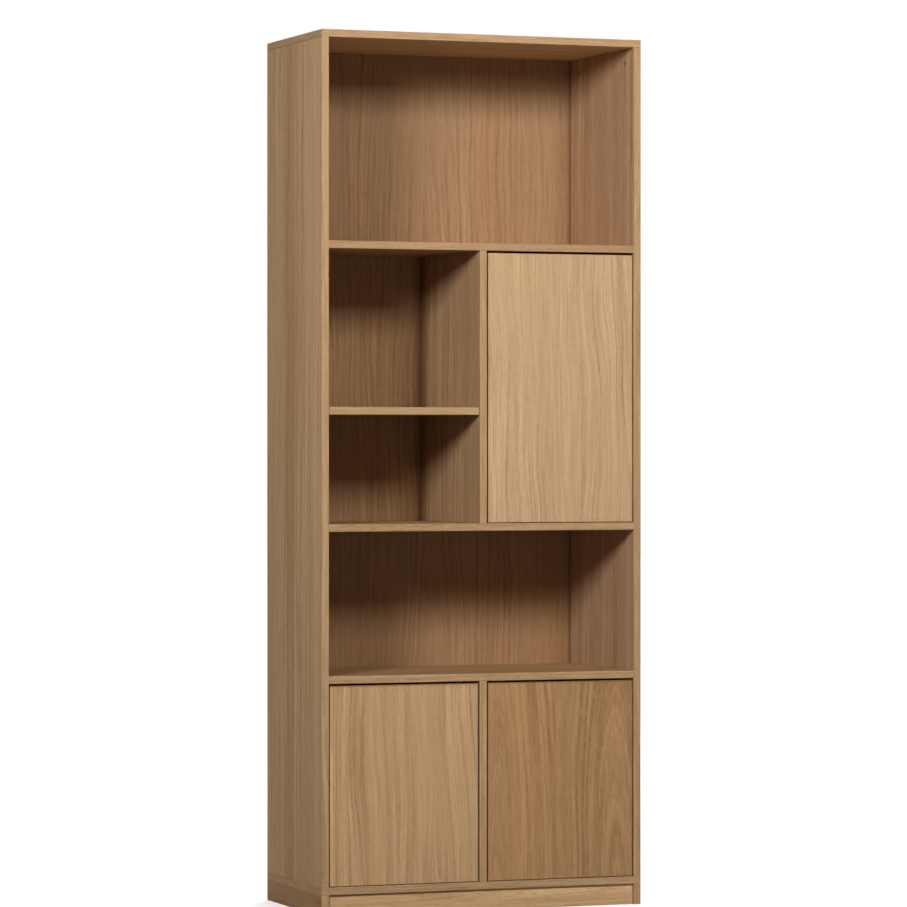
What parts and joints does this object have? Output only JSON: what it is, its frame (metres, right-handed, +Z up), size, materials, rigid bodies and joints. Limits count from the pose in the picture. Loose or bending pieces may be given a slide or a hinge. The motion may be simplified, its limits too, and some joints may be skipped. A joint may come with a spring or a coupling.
{
  "type": "wall shelving unit",
  "caption": "Tall oak shelving unit on a plinth: open bays, a loose shelf on pins and inset push-open cupboard doors on concealed hinges, with wall brackets on top.",
  "frame": {"origin": "on the floor under the middle of the unit", "axes": "+Z up, +X to the right seen from the front, the front faces -Y"},
  "size_m": [0.82, 0.41, 2.126],
  "materials": {
    "oak_board": "matt lacquered oak veneer on particle board",
    "oak_back": "matt lacquered oak veneer on thin fibreboard",
    "beech": "raw turned beech",
    "zinc_die_cast": "bronze-coloured die cast",
    "plated_steel": "nickel plated",
    "grey_plastic": "matt moulded",
    "dark_plastic": "matt moulded",
    "spring_steel": "bright wire"
  },
  "bodies": {
    "carcass": {"top_panel": "oak_board", "bottom_panel": "oak_board", "left_side": "oak_board", "right_side": "oak_board", "upper_shelf": "oak_board", "middle_shelf": "oak_board", "lower_shelf": "oak_board", "upper_divider": "oak_board", "lower_divider": "oak_board", "loose_shelf": "oak_board", "plinth_left": "oak_board", "plinth_right": "oak_board", "plinth_front": "oak_board", "plinth_rear": "oak_board", "back_top": "oak_back", "back_middle": "oak_back", "back_bottom": "oak_back", "cam_locks": "zinc_die_cast", "cam_bolts": "plated_steel", "dowels": "beech", "back_screws": "plated_steel", "hinge_plate_screws": "plated_steel", "latch_screws": "plated_steel", "bracket_screws": "plated_steel", "shelf_pins": "plated_steel", "wall_brackets": "plated_steel", "upper_hinge_arms": "plated_steel", "upper_hinge_plates": "plated_steel", "upper_latch_housing": "grey_plastic", "upper_latch_spring": "spring_steel", "lower_left_hinge_arms": "plated_steel", "lower_left_hinge_plates": "plated_steel", "lower_left_latch_housing": "grey_plastic", "lower_left_latch_spring": "spring_steel", "lower_right_hinge_arms": "plated_steel", "lower_right_hinge_plates": "plated_steel", "lower_right_latch_housing": "grey_plastic", "lower_right_latch_spring": "spring_steel"},
    "upper_leaf": {"upper_door": "oak_board", "upper_hinge_cups": "plated_steel", "upper_hinge_pins": "plated_steel", "upper_door_screws": "plated_steel", "upper_strike_plate": "plated_steel"},
    "lower_left_leaf": {"lower_left_door": "oak_board", "lower_left_hinge_cups": "plated_steel", "lower_left_hinge_pins": "plated_steel", "lower_left_door_screws": "plated_steel", "lower_left_strike_plate": "plated_steel"},
    "lower_right_leaf": {"lower_right_door": "oak_board", "lower_right_hinge_cups": "plated_steel", "lower_right_hinge_pins": "plated_steel", "lower_right_door_screws": "plated_steel", "lower_right_strike_plate": "plated_steel"},
    "upper_plunger": {"upper_latch_plunger": "dark_plastic"},
    "lower_left_plunger": {"lower_left_latch_plunger": "dark_plastic"},
    "lower_right_plunger": {"lower_right_latch_plunger": "dark_plastic"}
  },
  "joints": [
    {"name": "upper_door_hinge", "type": "hinge", "parent": "carcass", "child": "upper_leaf", "pos_m": [0.368, -0.1915, 1.255], "axis": [0, 0, 1], "range_deg": [0, 105]},
    {"name": "lower_left_door_hinge", "type": "hinge", "parent": "carcass", "child": "lower_left_leaf", "pos_m": [-0.368, -0.1915, 0.309], "axis": [0, 0, -1], "range_deg": [0, 105]},
    {"name": "lower_right_door_hinge", "type": "hinge", "parent": "carcass", "child": "lower_right_leaf", "pos_m": [0.368, -0.1915, 0.309], "axis": [0, 0, 1], "range_deg": [0, 105]},
    {"name": "upper_latch_slide", "type": "slide", "parent": "carcass", "child": "upper_plunger", "axis": [0, -1, 0], "range_m": [0, 0.014], "deforming": ["upper_latch_spring"]},
    {"name": "lower_left_latch_slide", "type": "slide", "parent": "carcass", "child": "lower_left_plunger", "axis": [0, -1, 0], "range_m": [0, 0.014], "deforming": ["lower_left_latch_spring"]},
    {"name": "lower_right_latch_slide", "type": "slide", "parent": "carcass", "child": "lower_right_plunger", "axis": [0, -1, 0], "range_m": [0, 0.014], "deforming": ["lower_right_latch_spring"]}
  ],
  "couplings": [
    {"joint": "upper_latch_slide", "follows": "upper_door_hinge", "m_per_rad": 0.00763},
    {"joint": "lower_left_latch_slide", "follows": "lower_left_door_hinge", "m_per_rad": 0.00763},
    {"joint": "lower_right_latch_slide", "follows": "lower_right_door_hinge", "m_per_rad": 0.00763}
  ]
}
